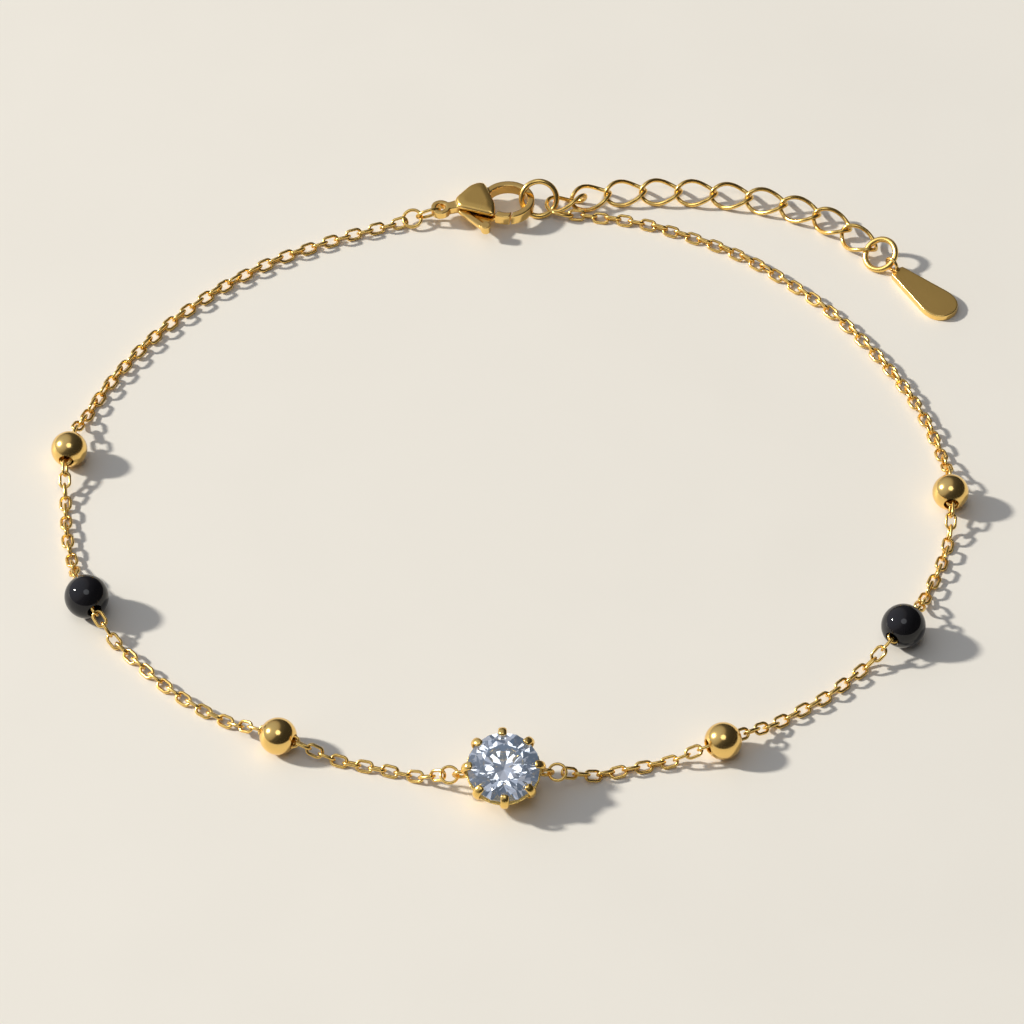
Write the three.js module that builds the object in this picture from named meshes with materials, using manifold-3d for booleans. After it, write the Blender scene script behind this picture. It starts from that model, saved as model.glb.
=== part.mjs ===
// A fine gold chain bracelet, laid out flat: a loop of cable chain with gold and black beads, a round
// stone in a prong setting, a lobster clasp hooked in its ring, and a curb-chain extender with a tag.
// Millimetres, +Z up, the surface that it lies on is z = 0, the stone is at the front (-Y).
import * as THREE from "three";
import { ConvexGeometry } from "three/addons/geometries/ConvexGeometry.js";
import { mergeVertices } from "three/addons/utils/BufferGeometryUtils.js";
import Module from "manifold-3d";

const wasm = await Module();
wasm.setup();

// Driving sizes of the beads and the fine chain
const GOLD_BEAD = 2.5;
const ONYX_BEAD = 3.0;
const BEAD_BORE = 1.06;
const CHAIN_WIDTH = 0.84;
const CHAIN_STEP = 2.6;
const CHAIN_GAP = 0.12;

// Driving sizes of the stone and its setting
const STONE_DIAMETER = 4.8;
const TABLE_DIAMETER = 2.74;
const CROWN_HEIGHT = 0.75;
const GIRDLE_THICKNESS = 0.12;
const PAVILION_DEPTH = 2.02;
const LOWER_TIP_SHARE = 0.28;
const STONE_CLEARANCE = 0.04;
const PRONG_COUNT = 8;
const PRONG_WIDTH = 0.58;
const PRONG_THICKNESS = 0.28;
const PRONG_GRIP = 0.34;
const PRONG_BULGE = 0.04;
const CUP_HEIGHT = 2.3;
const CUP_BASE_DIAMETER = 2.8;
const CUP_WALL = 0.3;
const CUP_RIM_DROP = 0.45;
const SETTING_TILT = 20;
const SETTING_TURN = 1.8;
const EYE_WIRE = 0.26;
const EYE_DIAMETER = 1.2;
const EYE_DROP = 1.2;
const EYE_SEAT = 0.22;

// Driving sizes of the jump rings: outer diameter and wire
const SETTING_RING = 1.34;
const SETTING_RING_WIRE = 0.2;
const SETTING_RING_PLAY = 0.05;
const TAIL_RING = 1.55;
const TAIL_RING_WIRE = 0.24;
const END_RING = 2.92;
const END_RING_WIRE = 0.4;
const TAG_RING = 2.7;
const TAG_RING_WIRE = 0.42;

// Driving sizes of the two long links: outer length, outer width and wire
const TAIL_LINK_LENGTH = 1.9;
const TAIL_LINK_WIDTH = 1.3;
const TAIL_LINK_WIRE = 0.23;
const END_LINK_LENGTH = 1.75;
const END_LINK_WIDTH = 1.1;
const END_LINK_WIRE = 0.22;

// Driving sizes of the curb-chain extender
const CURB_COUNT = 10;
const CURB_LENGTH = 3.2;
const CURB_WIDTH = 2.15;
const CURB_WIRE = 0.3;
const CURB_TWIST = 45;
const CURB_SLACK = 0.05;

// Driving sizes of the tag
const TAG_LENGTH = 5.65;
const TAG_WIDTH = 2.55;
const TAG_NECK = 1.1;
const TAG_THICKNESS = 0.5;
const TAG_EYE = 1.26;
const TAG_EYE_WIRE = 0.26;
const TAG_EYE_SEAT = 0.1;

// Driving sizes of the clasp
const CLASP_THICKNESS = 0.85;
const CLASP_LIFT = 0.68;
const HOOK_OUTER = 1.84;
const HOOK_INNER = 1.34;
const HOOK_STRETCH = 0.08;
const PLATE_THICKNESS = 0.25;
const CHEEK_THICKNESS = 0.2;
const PLATE_DOME = 0.18;
const LEVER_CLEARANCE = 0.04;
const RIVET_DIAMETER = 0.34;
const RIVET_CLEARANCE = 0.04;
const GATE_GAP = 0.08;
const NUB_DIAMETER = 0.72;
const NUB_HEIGHT = 0.66;
const WEB_DROP = 0.12;
const CLASP_EYE = 1.42;
const CLASP_EYE_HOLE = 0.66;
const CLASP_EYE_THICKNESS = 0.6;
const NECK_THICKNESS = 0.65;

// Where the pieces lie
const CLASP_PLACE = [-0.3, 27.15];
const CLASP_TURN = 8;
const CLASP_EYE_REACH = 4.85;
const SETTING_PLACE = [-0.55, -26.5];
const END_RING_FROM_CLASP = [2.24, 0.29];
const END_RING_LEAN = 55;
const TAIL_RING_FROM_EYE = [-2.04, -0.4, -0.5];
const TAIL_RING_LEAN = 20;
const TAIL_LINK_FACING = [0, -0.9, -0.42];
const TAIL_LINK_HOLD = 0.1;
const END_LINK_FROM_RING = [1.64, -0.72];
const END_LINK_HEIGHT = 0.45;
const END_LINK_RUN = [1, -0.2, -0.1];
const END_LINK_FACING = [0.3, 0.5, 0.8];
const FIRST_CURB_LEAN = 30;
const FIRST_CURB_OVERLAP = 0.7;
const CURB_LEAN = -18;
const CURB_TURN = 5;
const TAG_RING_FACING = [-0.37, -0.42, 0.83];
const TAG_RING_OVERLAP = 0.24;

// The strands' routes, from the clasp round to the setting. A row with a bead names it.
const LEFT_ROUTE = [
  { x: -8.2, y: 25.8 },
  { x: -11.0, y: 24.8 },
  { x: -14.2, y: 23.5 },
  { x: -17.5, y: 21.7 },
  { x: -20.6, y: 19.4 },
  { x: -23.4, y: 16.7 },
  { x: -25.9, y: 13.6 },
  { x: -27.9, y: 10.4 },
  { x: -29.5, y: 7.0 },
  { x: -30.5, y: 3.0, bead: "gold_bead_back_left" },
  { x: -30.6, y: -1.0 },
  { x: -30.3, y: -4.4 },
  { x: -29.8, y: -6.8 },
  { x: -28.6, y: -10.7, bead: "onyx_bead_left" },
  { x: -26.4, y: -14.0 },
  { x: -23.9, y: -16.8 },
  { x: -21.2, y: -19.2 },
  { x: -18.7, y: -20.8 },
  { x: -15.4, y: -22.7, bead: "gold_bead_front_left" },
  { x: -11.6, y: -24.0 },
  { x: -8.6, y: -24.8 },
  { x: -6.4, y: -25.4 },
];
const RIGHT_ROUTE = [
  { x: 5.2, y: 26.6 },
  { x: 8.6, y: 26.0 },
  { x: 12.3, y: 24.7 },
  { x: 16.1, y: 22.7 },
  { x: 19.3, y: 20.2 },
  { x: 22.3, y: 17.3 },
  { x: 24.8, y: 14.0 },
  { x: 27.1, y: 10.2 },
  { x: 28.6, y: 6.8 },
  { x: 29.7, y: 3.0 },
  { x: 30.0, y: -1.0, bead: "gold_bead_back_right" },
  { x: 29.7, y: -4.8 },
  { x: 28.9, y: -7.4 },
  { x: 27.9, y: -9.8 },
  { x: 26.2, y: -13.3, bead: "onyx_bead_right" },
  { x: 23.5, y: -16.1 },
  { x: 20.8, y: -18.6 },
  { x: 17.6, y: -20.8 },
  { x: 13.9, y: -23.1, bead: "gold_bead_front_right" },
  { x: 10.2, y: -24.2 },
  { x: 7.6, y: -24.8 },
  { x: 5.7, y: -25.3 },
];

// The extender's route, along which its links follow each other, from the end ring's middle.
const EXTENDER_ROUTE = [
  { x: 1.96, y: 0.16 },
  { x: 3.76, y: 0.76 },
  { x: 6.06, y: 1.16 },
  { x: 8.56, y: 1.26 },
  { x: 11.16, y: 1.16 },
  { x: 13.66, y: 0.86 },
  { x: 16.16, y: 0.31 },
  { x: 18.66, y: -0.59 },
  { x: 20.96, y: -1.84 },
  { x: 22.76, y: -3.54 },
  { x: 24.36, y: -5.29 },
  { x: 28.96, y: -10.44 },
];

const SIDES = { ring: 14, wire: 6, bead: 16, tube: 8, cup: 24 };

const gold = { color: 0xd9a441, roughness: 0.16, metalness: 1 };
const satinGold = { color: 0xb08d4a, roughness: 0.38, metalness: 1 };
const onyx = { color: 0x0b0b0d, roughness: 0.08, metalness: 0 };
const whiteStone = { color: 0xe8eefc, roughness: 0.02, metalness: 0 };

const bracelet = new THREE.Group();

const radians = (degrees) => THREE.MathUtils.degToRad(degrees);
const point = (x, y, z) => new THREE.Vector3(x, y, z);

function addMesh(name, geometry, finish, parent = bracelet) {
  const mesh = new THREE.Mesh(geometry, new THREE.MeshStandardMaterial(finish));
  mesh.name = name;
  parent.add(mesh);
  return mesh;
}

// Lowers or lifts a piece, or a group of pieces, until it just touches the surface
function settled(object) {
  object.updateMatrixWorld(true);
  object.position.z -= new THREE.Box3().setFromObject(object, true).min.z;
  object.updateMatrixWorld(true);
  return object;
}

// Joins and cuts, on closed geometries
function toSolid(geometry) {
  const bare = geometry.index ? geometry.toNonIndexed() : geometry.clone();
  bare.deleteAttribute("normal");
  bare.deleteAttribute("uv");
  const merged = mergeVertices(bare, 1e-4);
  const corners = [];
  for (let i = 0; i < merged.index.count; i += 3) {
    const [a, b, c] = merged.index.array.slice(i, i + 3);
    if (a !== b && b !== c && c !== a) corners.push(a, b, c);
  }
  return new wasm.Manifold(
    new wasm.Mesh({
      numProp: 3,
      vertProperties: merged.attributes.position.array,
      triVerts: new Uint32Array(corners),
    }),
  );
}

function toGeometry(solid) {
  const mesh = solid.getMesh();
  const geometry = new THREE.BufferGeometry();
  geometry.setAttribute("position", new THREE.BufferAttribute(mesh.vertProperties, 3));
  geometry.setIndex(new THREE.BufferAttribute(mesh.triVerts, 1));
  return geometry;
}

const joined = (geometries) => geometries.map(toSolid).reduce((a, b) => a.add(b));

// A flat plate of an outline in XY, from one height to another
function plate(shape, low, high, curveSegments = 8) {
  const settings = { depth: high - low, bevelEnabled: false, curveSegments };
  return new THREE.ExtrudeGeometry(shape, settings).translate(0, 0, low);
}

// An upright pin from one height to another
function pin(x, y, diameter, low, high, sides = 14) {
  const geometry = new THREE.CylinderGeometry(diameter / 2, diameter / 2, high - low, sides);
  return geometry.rotateX(Math.PI / 2).translate(x, y, (low + high) / 2);
}

// Turns a geometry's X and Z axes to a direction and a facing, and puts it in its place
function seat(geometry, place, along, facing) {
  const x = along.clone().normalize();
  const z = facing.clone().addScaledVector(x, -facing.dot(x)).normalize();
  const y = z.clone().cross(x);
  const matrix = new THREE.Matrix4().makeBasis(x, y, z).setPosition(place);
  return geometry.applyMatrix4(matrix);
}

// Rings and links: a round ring, an oval link, and a curb link twisted about its length
function ring(outerDiameter, wire) {
  return new THREE.TorusGeometry((outerDiameter - wire) / 2, wire / 2, SIDES.wire, SIDES.ring);
}

class LinkCurve extends THREE.Curve {
  constructor(length, width, twist = 0) {
    super();
    this.halfLength = length / 2;
    this.halfWidth = width / 2;
    this.twist = radians(twist);
  }

  getPoint(t, target = new THREE.Vector3()) {
    const x = this.halfLength * Math.cos(2 * Math.PI * t);
    const y = this.halfWidth * Math.sin(2 * Math.PI * t);
    const turn = (-this.twist * x) / this.halfLength;
    return target.set(x, y * Math.cos(turn), y * Math.sin(turn));
  }
}

function link(length, width, wire, twist) {
  const curve = new LinkCurve(length - wire, width - wire, twist);
  return new THREE.TubeGeometry(curve, SIDES.ring, wire / 2, SIDES.wire, true);
}

// A bead drilled for the chain, its bore along X
function drilledBead(diameter, bore) {
  const radius = diameter / 2;
  const start = Math.asin(bore / 2 / radius);
  const arcs = SIDES.bead / 2;
  const profile = [];
  for (let i = 0; i <= arcs; i++) {
    const angle = start + ((Math.PI - 2 * start) * i) / arcs;
    profile.push(new THREE.Vector2(radius * Math.sin(angle), -radius * Math.cos(angle)));
  }
  profile.push(profile[0].clone());
  return new THREE.LatheGeometry(profile, SIDES.bead).rotateZ(-Math.PI / 2);
}

// The fine chain's height along a route: on the surface, and through the beads' middles
const CHAIN_REST = CHAIN_WIDTH / 2;
const beadSize = (name) => (name.startsWith("gold") ? GOLD_BEAD : ONYX_BEAD);

function strandPoints(route, first, last) {
  const points = [];
  route.forEach((row, i) => {
    if (!row.bead) {
      points.push(point(row.x, row.y, CHAIN_REST));
      return;
    }
    const radius = beadSize(row.bead) / 2;
    const run = point(route[i + 1].x - route[i - 1].x, route[i + 1].y - route[i - 1].y, 0);
    const reach = run.normalize().multiplyScalar(radius + CHAIN_GAP);
    const middle = point(row.x, row.y, radius);
    points.push(middle.clone().sub(reach), middle.clone().add(reach));
  });
  return [first, ...points, last].map((p) => p.setZ(Math.max(p.z, CHAIN_REST)));
}

// A round or oval section for a tube, as a polygon
function roundSection(width, thickness, sides) {
  const corners = [];
  for (let i = 0; i < sides; i++) {
    const angle = (2 * Math.PI * i) / sides;
    corners.push(new THREE.Vector2((width / 2) * Math.cos(angle), (thickness / 2) * Math.sin(angle)));
  }
  return new THREE.Shape(corners);
}

// A curve whose stations are its own points, so that a tube along it has one section at each
class StationCurve extends THREE.CatmullRomCurve3 {
  getUtoTmapping(u) {
    return u;
  }
}

function chainTube(points) {
  const smooth = new StationCurve(points);
  const stations = [points[0]];
  for (let i = 1; i < points.length; i++) {
    const steps = Math.max(1, Math.round(points[i].distanceTo(points[i - 1]) / CHAIN_STEP));
    for (let k = 1; k <= steps; k++) {
      const station = smooth.getPoint((i - 1 + k / steps) / (points.length - 1));
      stations.push(station.setZ(Math.max(station.z, CHAIN_REST)));
    }
  }
  return new THREE.ExtrudeGeometry(roundSection(CHAIN_WIDTH, CHAIN_WIDTH, SIDES.tube), {
    steps: stations.length - 1,
    extrudePath: new StationCurve(stations),
  });
}

// The stone, a round brilliant cut with its girdle's middle at the origin
function brilliant() {
  const radius = STONE_DIAMETER / 2;
  const table = TABLE_DIAMETER / 2;
  const half = GIRDLE_THICKNESS / 2;
  const eighth = Math.cos(Math.PI / 8);
  const starTip = (table + radius) / 2;
  const starHeight = half + (CROWN_HEIGHT * (radius - starTip * eighth)) / (radius - table);
  const lowerTip = radius * LOWER_TIP_SHARE;
  const lowerDepth = -half - PAVILION_DEPTH * (1 - (lowerTip * eighth) / radius);
  const points = [point(0, 0, -half - PAVILION_DEPTH)];
  const circle = (r, z, i) => point(r * Math.cos(i), r * Math.sin(i), z);
  for (let i = 0; i < 16; i++) {
    const angle = (i * Math.PI) / 8;
    points.push(circle(radius, half, angle), circle(radius, -half, angle));
    if (i % 2) points.push(circle(starTip, starHeight, angle), circle(lowerTip, lowerDepth, angle));
    else points.push(circle(table, half + CROWN_HEIGHT, angle));
  }
  return new ConvexGeometry(points);
}

// The setting, in the stone's frame: a cup, eight prongs that bend over the girdle, and two eyes
function settingSolid() {
  const radius = STONE_DIAMETER / 2;
  const wire = PRONG_THICKNESS / 2;
  const outside = radius + wire + STONE_CLEARANCE;
  const base = CUP_BASE_DIAMETER / 2;
  const rim = outside - wire * 0.6;
  const profile = [
    [base, -CUP_HEIGHT],
    [rim, -CUP_RIM_DROP],
    [rim - CUP_WALL, -CUP_RIM_DROP],
    [base - CUP_WALL, -CUP_HEIGHT],
    [base, -CUP_HEIGHT],
  ].map(([r, z]) => new THREE.Vector2(r, z));
  const pieces = [new THREE.LatheGeometry(profile, SIDES.cup).rotateX(Math.PI / 2)];

  const crownSlope = Math.atan2(CROWN_HEIGHT, radius - TABLE_DIAMETER / 2);
  const reach = wire + STONE_CLEARANCE;
  const tip = new THREE.Vector2(
    radius - PRONG_GRIP + reach * Math.sin(crownSlope),
    GIRDLE_THICKNESS / 2 + PRONG_GRIP * Math.tan(crownSlope) + reach * Math.cos(crownSlope),
  );
  const prong = new StationCurve([
    point(base - CUP_WALL / 2, 0, -CUP_HEIGHT + wire * 0.4),
    point((base + outside) / 2, 0, -CUP_HEIGHT * 0.55),
    point(outside, 0, -CUP_RIM_DROP),
    point(outside + PRONG_BULGE, 0, GIRDLE_THICKNESS / 2),
    point((outside + tip.x) / 2 + PRONG_BULGE, 0, tip.y * 0.8),
    point(tip.x, 0, tip.y),
  ]);
  const section = roundSection(PRONG_WIDTH, PRONG_THICKNESS, SIDES.tube);
  const settings = { steps: 5, extrudePath: prong };
  for (let i = 0; i < PRONG_COUNT; i++) {
    const angle = (i * 2 * Math.PI) / PRONG_COUNT;
    pieces.push(new THREE.ExtrudeGeometry(section, settings).rotateZ(angle));
  }
  for (const side of [-1, 1]) {
    const eye = ring(EYE_DIAMETER, EYE_WIRE).rotateX(Math.PI / 2);
    pieces.push(eye.translate(side * eyeReach, 0, -EYE_DROP));
  }
  return toGeometry(joined(pieces));
}

// How far out the eyes' and the jump rings' middles stand
const eyeReach = (STONE_DIAMETER + EYE_DIAMETER) / 2 - EYE_SEAT;
const eyeEnd = eyeReach + (EYE_DIAMETER - EYE_WIRE) / 2;
const eyeInside = eyeEnd - (EYE_WIRE + SETTING_RING_WIRE) / 2 - SETTING_RING_PLAY;
const settingRingReach = eyeInside + (SETTING_RING - SETTING_RING_WIRE) / 2;

const setting = new THREE.Group();
setting.position.set(...SETTING_PLACE, 0);
setting.rotation.set(radians(SETTING_TILT), 0, radians(SETTING_TURN), "ZYX");
bracelet.add(setting);
addMesh("stone", brilliant(), whiteStone, setting);
addMesh("setting", settingSolid(), gold, setting);
settled(setting);
const settingEnds = {};
for (const [side, name] of [
  [-1, "left"],
  [1, "right"],
]) {
  const mesh = addMesh("setting_ring_" + name, ring(SETTING_RING, SETTING_RING_WIRE), gold, setting);
  mesh.position.set(side * settingRingReach, 0, -EYE_DROP);
  const end = side * (settingRingReach + SETTING_RING / 2 + CHAIN_GAP);
  setting.updateMatrixWorld(true);
  settingEnds[name] = setting.localToWorld(point(end, 0, -EYE_DROP));
}

// The clasp, in its own frame: the hook's middle at the origin, the eye on -X
const clasp = new THREE.Group();
clasp.position.set(...CLASP_PLACE, CLASP_LIFT);
clasp.rotation.z = radians(CLASP_TURN);
bracelet.add(clasp);

const PIVOT = new THREE.Vector2(-2.05, -0.5);
const NUB_PLACE = new THREE.Vector2(-1.92, -2.3);
const SEAM_ANGLE = -93;
const SEAM_SLANT = 26;
const SEAM_SPARE = 6;
const GATE_ROOT_ANGLE = -127;
const HOOK_ROOT_ANGLE = 150;
const slotLow = CHEEK_THICKNESS;
const slotHigh = CLASP_THICKNESS - PLATE_THICKNESS;

function bandShape(fromDegrees, toDegrees) {
  const shape = new THREE.Shape();
  const from = radians(fromDegrees);
  const to = radians(toDegrees);
  const stretch = HOOK_STRETCH;
  shape.absellipse(0, 0, HOOK_OUTER + stretch, HOOK_OUTER, from, to, false, 0);
  shape.absellipse(0, 0, HOOK_INNER + stretch, HOOK_INNER, to, from, true, 0);
  shape.closePath();
  return shape;
}

// A block on one side of the slanted seam between the hook and the gate
function besideSeam(side) {
  const size = 0.6;
  const angle = radians(SEAM_ANGLE);
  const block = new THREE.BoxGeometry(size, 3 * size, 3);
  block.translate((side * (size - GATE_GAP)) / 2, 0, 0).rotateZ(radians(-SEAM_SLANT));
  return block.translate(HOOK_OUTER * Math.cos(angle), HOOK_OUTER * Math.sin(angle), 0);
}

// A polygon with round corners
function roundedShape(corners) {
  const shape = new THREE.Shape();
  corners.forEach(([x, y, radius], i) => {
    const [beforeX, beforeY] = corners[(i + corners.length - 1) % corners.length];
    const [afterX, afterY] = corners[(i + 1) % corners.length];
    const before = new THREE.Vector2(beforeX - x, beforeY - y).normalize().multiplyScalar(radius);
    const after = new THREE.Vector2(afterX - x, afterY - y).normalize().multiplyScalar(radius);
    if (i) shape.lineTo(x + before.x, y + before.y);
    else shape.moveTo(x + before.x, y + before.y);
    shape.quadraticCurveTo(x, y, x + after.x, y + after.y);
  });
  shape.closePath();
  return shape;
}

const shield = roundedShape([
  [-3.6, -0.32, 0.3],
  [-1.12, -1.52, 0.42],
  [-0.98, -0.3, 0.3],
  [-1.45, 2.02, 0.5],
  [-2.45, 1.8, 0.4],
  [-3.78, 0.55, 0.35],
]);

// The shield's softly domed top: outlines that shrink towards its middle as they rise
function domedPlate(shape) {
  const outline = shape.getPoints(4);
  const middle = outline.reduce((sum, p) => sum.add(p), new THREE.Vector2());
  middle.divideScalar(outline.length);
  const steps = [
    { rise: -0.5, share: 1 },
    { rise: 0, share: 1 },
    { rise: 0.7, share: 0.88 },
    { rise: 1, share: 0.6 },
  ];
  const points = steps.flatMap(({ rise, share }) =>
    outline.map((p) => {
      const at = p.clone().sub(middle).multiplyScalar(share).add(middle);
      return point(at.x, at.y, CLASP_THICKNESS + rise * PLATE_DOME);
    }),
  );
  return new ConvexGeometry(points);
}

function claspBodySolid() {
  const eyeMiddle = CLASP_THICKNESS / 2;
  const eyeLow = eyeMiddle - CLASP_EYE_THICKNESS / 2;
  const eyeHigh = eyeMiddle + CLASP_EYE_THICKNESS / 2;
  const neck = roundedShape([
    [-CLASP_EYE_REACH + 0.4, -0.34, 0.05],
    [-3.2, -0.2, 0.05],
    [-3.2, 0.65, 0.05],
    [-CLASP_EYE_REACH + 0.4, 0.34, 0.05],
  ]);
  const bodies = joined([
    plate(bandShape(SEAM_ANGLE - SEAM_SPARE, HOOK_ROOT_ANGLE), 0, CLASP_THICKNESS, 20),
    plate(shield, 0, CLASP_THICKNESS - 0.02, 4),
    domedPlate(shield),
    plate(neck, eyeMiddle - NECK_THICKNESS / 2, eyeMiddle + NECK_THICKNESS / 2, 2),
    pin(-CLASP_EYE_REACH, 0, CLASP_EYE, eyeLow, eyeHigh, 16),
  ]);
  const slot = new THREE.Shape();
  [
    [-3.75, -3],
    [-3.75, -0.28],
    [-3.25, -0.12],
    [-2.3, 0.5],
    [-0.5, 0.5],
    [-0.5, -3],
  ].forEach(([x, y], i) => (i ? slot.lineTo(x, y) : slot.moveTo(x, y)));
  slot.closePath();
  const bore = RIVET_DIAMETER + RIVET_CLEARANCE;
  return bodies
    .subtract(toSolid(besideSeam(-1)))
    .subtract(toSolid(plate(slot, slotLow, slotHigh)))
    .subtract(toSolid(pin(PIVOT.x, PIVOT.y, bore, -1, slotHigh + 0.12)))
    .subtract(toSolid(pin(-CLASP_EYE_REACH, 0, CLASP_EYE_HOLE, -1, 2)));
}

function claspLeverSolid() {
  const low = slotLow + LEVER_CLEARANCE;
  const high = slotHigh - LEVER_CLEARANCE;
  const web = roundedShape([
    [-3.55, -0.42, 0.1],
    [-2.25, -1.95, 0.1],
    [-1.72, -1.95, 0.1],
    [-1.25, -1.42, 0.05],
    [-0.92, -1.42, 0.02],
    [-0.8, -1.1, 0.02],
    [-1.7, -0.12, 0.2],
    [-2.6, -0.15, 0.2],
  ]);
  const nubLow = (CLASP_THICKNESS - NUB_HEIGHT) / 2;
  const nub = pin(NUB_PLACE.x, NUB_PLACE.y, NUB_DIAMETER, nubLow, nubLow + NUB_HEIGHT, 12);
  const bar = roundedShape([
    [-3.66, -0.45, 0.12],
    [-2.22, -2.4, 0.1],
    [-1.78, -2.1, 0.1],
    [-3.2, -0.35, 0.1],
  ]);
  const gate = bandShape(GATE_ROOT_ANGLE, SEAM_ANGLE + 2 * SEAM_SPARE);
  const bore = RIVET_DIAMETER + 2 * RIVET_CLEARANCE;
  const lever = joined([
    plate(web, low, high - WEB_DROP, 3),
    nub,
    plate(gate, 0.02, CLASP_THICKNESS - 0.02, 6),
    plate(bar, low, high, 3),
  ]);
  return lever
    .subtract(toSolid(pin(PIVOT.x, PIVOT.y, bore, -1, 2)))
    .subtract(toSolid(besideSeam(1)));
}

addMesh("clasp_body", toGeometry(claspBodySolid()), gold, clasp);
addMesh("clasp_lever", toGeometry(claspLeverSolid()), gold, clasp);
addMesh("clasp_rivet", pin(PIVOT.x, PIVOT.y, RIVET_DIAMETER, 0.02, slotHigh + 0.1, 12), gold, clasp);

// The rings and links at the clasp
clasp.updateMatrixWorld(true);
const claspEye = clasp.localToWorld(point(-CLASP_EYE_REACH, 0, CLASP_THICKNESS / 2));
const tailRing = claspEye.clone().add(point(...TAIL_RING_FROM_EYE));
const tailRun = claspEye.clone().sub(tailRing);
const tailRingFacing = point(0, -Math.sin(radians(TAIL_RING_LEAN)), Math.cos(radians(TAIL_RING_LEAN)));
addMesh("tail_ring", seat(ring(TAIL_RING, TAIL_RING_WIRE), tailRing, tailRun, tailRingFacing), gold);
const tailLinkReach = (TAIL_LINK_LENGTH - TAIL_LINK_WIRE) / 2 + TAIL_LINK_HOLD;
const tailLinkMiddle = claspEye.clone().sub(tailRun.clone().setLength(tailLinkReach));
const tailLink = link(TAIL_LINK_LENGTH, TAIL_LINK_WIDTH, TAIL_LINK_WIRE);
addMesh("tail_link", seat(tailLink, tailLinkMiddle, tailRun, point(...TAIL_LINK_FACING)), gold);

const endRingLean = radians(END_RING_LEAN);
const endRingRadius = (END_RING - END_RING_WIRE) / 2;
const endRing = point(
  CLASP_PLACE[0] + END_RING_FROM_CLASP[0],
  CLASP_PLACE[1] + END_RING_FROM_CLASP[1],
  endRingRadius * Math.sin(endRingLean) + END_RING_WIRE / 2,
);
const endRingFacing = point(0, -Math.sin(endRingLean), Math.cos(endRingLean));
addMesh("end_ring", seat(ring(END_RING, END_RING_WIRE), endRing, point(1, 0, 0), endRingFacing), gold);

const endLink = link(END_LINK_LENGTH, END_LINK_WIDTH, END_LINK_WIRE);
const endLinkMiddle = endRing.clone().add(point(...END_LINK_FROM_RING, 0)).setZ(END_LINK_HEIGHT);
const endLinkRun = point(...END_LINK_RUN);
addMesh("chain_end_link", seat(endLink, endLinkMiddle, endLinkRun, point(...END_LINK_FACING)), gold);

// The extender
const extenderCurve = new THREE.CatmullRomCurve3(
  EXTENDER_ROUTE.map((row) => point(endRing.x + row.x, endRing.y + row.y, 0)),
);
const extenderLength = extenderCurve.getLength();
const curbPitch = CURB_LENGTH - 2 * CURB_WIRE - CURB_SLACK;
const along = (distance) => extenderCurve.getPointAt(distance / extenderLength);
const heading = (distance) => extenderCurve.getTangentAt(distance / extenderLength);
let reached = 0;
for (let i = 0; i < CURB_COUNT; i++) {
  const lean = radians(i ? CURB_LEAN : FIRST_CURB_LEAN);
  const facing = point(0, Math.sin(lean), Math.cos(lean));
  const run = heading(reached).applyAxisAngle(point(0, 0, 1), radians(i ? CURB_TURN : 0));
  const name = "extender_link_" + String(i + 1).padStart(2, "0");
  const curb = link(CURB_LENGTH, CURB_WIDTH, CURB_WIRE, CURB_TWIST);
  settled(addMesh(name, seat(curb, along(reached), run, facing), gold));
  reached += i ? curbPitch : curbPitch - FIRST_CURB_OVERLAP;
}

// The tag ring and the tag, which follow the last link
const lastCurbEnd = reached - curbPitch + CURB_LENGTH / 2 - CURB_WIRE;
const tagRingReach = lastCurbEnd + (TAG_RING - TAG_RING_WIRE) / 2 - TAG_RING_OVERLAP;
const tagRing = along(tagRingReach);
const tagRingMesh = seat(
  ring(TAG_RING, TAG_RING_WIRE),
  tagRing,
  heading(tagRingReach),
  point(...TAG_RING_FACING),
);
settled(addMesh("tag_ring", tagRingMesh, gold));

function tagSolid() {
  const neck = TAG_NECK / 2;
  const wide = TAG_WIDTH / 2;
  const shape = new THREE.Shape();
  shape.moveTo(0, -neck);
  shape.lineTo(TAG_LENGTH * 0.66, -wide * 0.96);
  shape.bezierCurveTo(TAG_LENGTH * 0.86, -wide * 1.12, TAG_LENGTH, -wide * 0.7, TAG_LENGTH, 0);
  shape.bezierCurveTo(TAG_LENGTH, wide * 0.7, TAG_LENGTH * 0.86, wide * 1.12, TAG_LENGTH * 0.66, wide * 0.96);
  shape.lineTo(0, neck);
  shape.quadraticCurveTo(-0.25, 0, 0, -neck);
  const eye = ring(TAG_EYE, TAG_EYE_WIRE).rotateX(Math.PI / 2);
  eye.translate(TAG_EYE_SEAT - TAG_EYE / 2, 0, TAG_EYE / 2);
  return toGeometry(joined([plate(shape, 0, TAG_THICKNESS, 8), eye]));
}

const tagEyeReach = tagRingReach + (TAG_RING - TAG_RING_WIRE) / 2;
const tagStart = along(tagEyeReach).add(heading(tagEyeReach).multiplyScalar(TAG_EYE / 2 - TAG_EYE_SEAT));
addMesh("tag", seat(tagSolid(), tagStart.setZ(0), heading(tagEyeReach + 1), point(0, 0, 1)), satinGold);

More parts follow.
